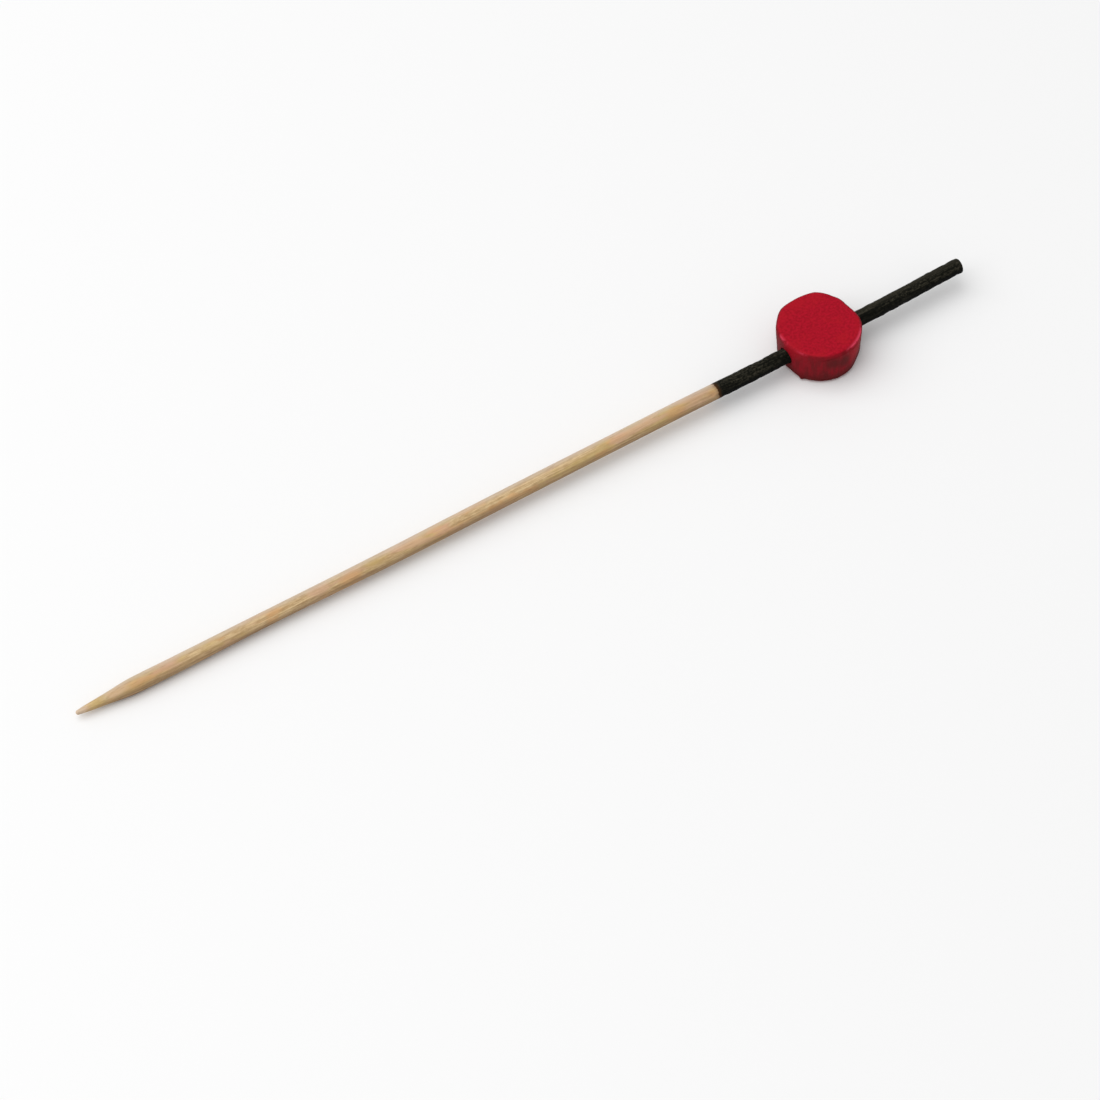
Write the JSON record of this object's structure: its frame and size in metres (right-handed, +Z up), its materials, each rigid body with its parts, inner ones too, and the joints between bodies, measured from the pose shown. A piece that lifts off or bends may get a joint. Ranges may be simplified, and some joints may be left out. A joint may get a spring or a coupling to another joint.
{
  "type": "bamboo skewer",
  "caption": "Bamboo food skewer with a sharpened point, a black dyed end and a flat red wooden bead pushed onto the stick.",
  "frame": {"origin": "middle of the bounding box, at the height of the table that the skewer lies on", "axes": "+Z up, X along the stick with the sharpened point at -X and the dyed sawn end at +X"},
  "size_m": [0.12, 0.01, 0.0052],
  "materials": {
    "bamboo": "bare, sanded bamboo, dyed matt black from just past the bead to the sawn end",
    "red_paint": "satin crimson paint over turned wood, worn pink along the edges"
  },
  "bodies": {
    "root": {"bamboo_stick": "bamboo", "disc_bead": "red_paint"}
  },
  "joints": []
}
